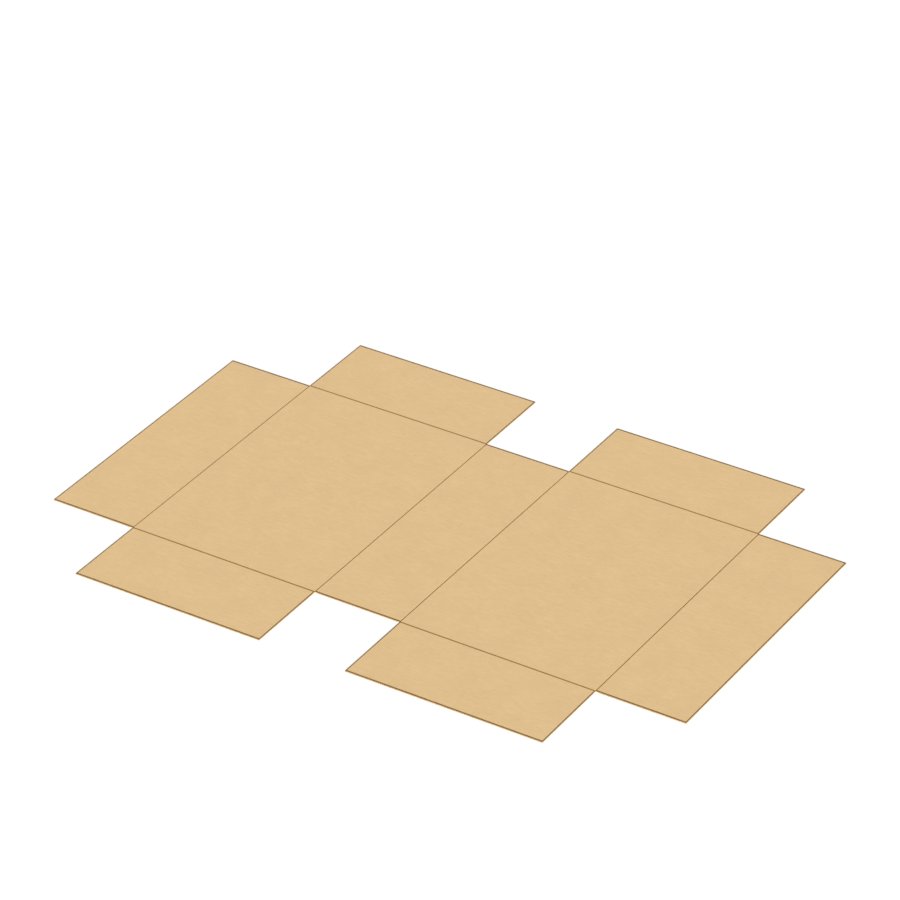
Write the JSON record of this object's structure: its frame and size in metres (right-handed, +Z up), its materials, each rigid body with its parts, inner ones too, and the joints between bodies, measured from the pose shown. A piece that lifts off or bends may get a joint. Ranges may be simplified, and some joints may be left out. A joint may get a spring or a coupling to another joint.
{
  "type": "flattened cardboard box",
  "caption": "Flat die-cut cardboard box blank, creased into a base, a hinged lid, walls and end walls, ready to fold up into a shallow box.",
  "frame": {"origin": "middle of the blank's underside, on the surface that it lies on", "axes": "+X along the strip of panels, from the base to the lid; +Y across the strip, towards the back end walls; +Z up, out of the inside face that the creases are pressed into"},
  "size_m": [0.7508, 0.529, 0.0012],
  "materials": {
    "kraft_board": "matte"
  },
  "bodies": {
    "root": {"box_blank": "kraft_board"}
  },
  "joints": []
}
